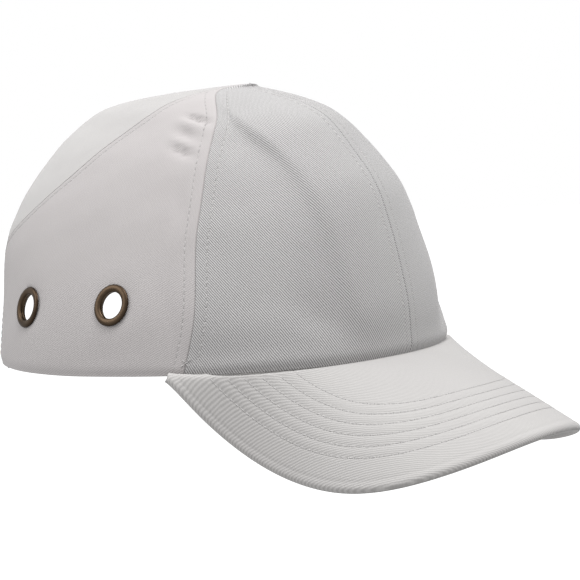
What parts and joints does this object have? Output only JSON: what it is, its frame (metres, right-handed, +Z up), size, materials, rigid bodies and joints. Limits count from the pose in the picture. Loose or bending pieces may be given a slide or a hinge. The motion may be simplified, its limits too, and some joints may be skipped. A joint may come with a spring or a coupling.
{
  "type": "bump cap",
  "caption": "Fabric baseball-style bump cap with a long curved peak, metal eyelets, a hook-and-loop rear strap and a removable padded head shell.",
  "frame": {"origin": "centre of the head opening, level with the crown's lowest edge", "axes": "+Z up through the crown, the peak points along -Y, the wearer's right side is -X"},
  "size_m": [0.18, 0.2779, 0.1712],
  "materials": {
    "back_cloth": "light grey cotton twill",
    "side_cloth": "warm grey cotton twill",
    "front_cloth": "mid grey cotton twill",
    "peak_cloth": "warm grey cotton twill",
    "tape_cloth": "woven tape",
    "band_cloth": "brushed sweatband cloth",
    "board_plastic": "stiff white sheet",
    "shell_plastic": "moulded black shell with a fine texture",
    "foam": "dark cloth-faced foam",
    "bronze": "antique bronze, rubbed bright on the roll",
    "hook_loop": "hook-and-loop tape"
  },
  "bodies": {
    "cap": {"front_panel_right": "front_cloth", "front_panel_left": "front_cloth", "side_panel_right": "side_cloth", "side_panel_left": "side_cloth", "back_panel": "back_cloth", "seam_tape_front": "tape_cloth", "seam_tape_side_right": "tape_cloth", "seam_tape_side_left": "tape_cloth", "seam_tape_back_right": "tape_cloth", "seam_tape_back_left": "tape_cloth", "arch_binding": "tape_cloth", "eyelet_front_right": "bronze", "eyelet_front_left": "bronze", "eyelet_rear_right": "bronze", "eyelet_rear_left": "bronze", "washer_front_right": "bronze", "washer_front_left": "bronze", "washer_rear_right": "bronze", "washer_rear_left": "bronze", "peak_board": "board_plastic", "peak_top_cover": "peak_cloth", "peak_under_cover": "peak_cloth", "sweatband": "band_cloth", "strap_left": "side_cloth", "strap_hook_patch": "hook_loop"},
    "liner": {"impact_shell": "shell_plastic", "front_pad": "foam", "side_pad_right": "foam", "side_pad_left": "foam", "rear_pad": "foam", "crown_pad": "foam"},
    "strap_tail": {"strap_right": "side_cloth", "strap_loop_patch": "hook_loop"}
  },
  "joints": [
    {"name": "liner_drop", "type": "slide", "parent": "cap", "child": "liner", "axis": [0, 0, -1], "range_m": [0, 0.16]},
    {"name": "strap_peel", "type": "hinge", "parent": "cap", "child": "strap_tail", "pos_m": [-0.0445, 0.0933, 0.0058], "axis": [0, 0, 1], "range_deg": [0, 100]}
  ]
}
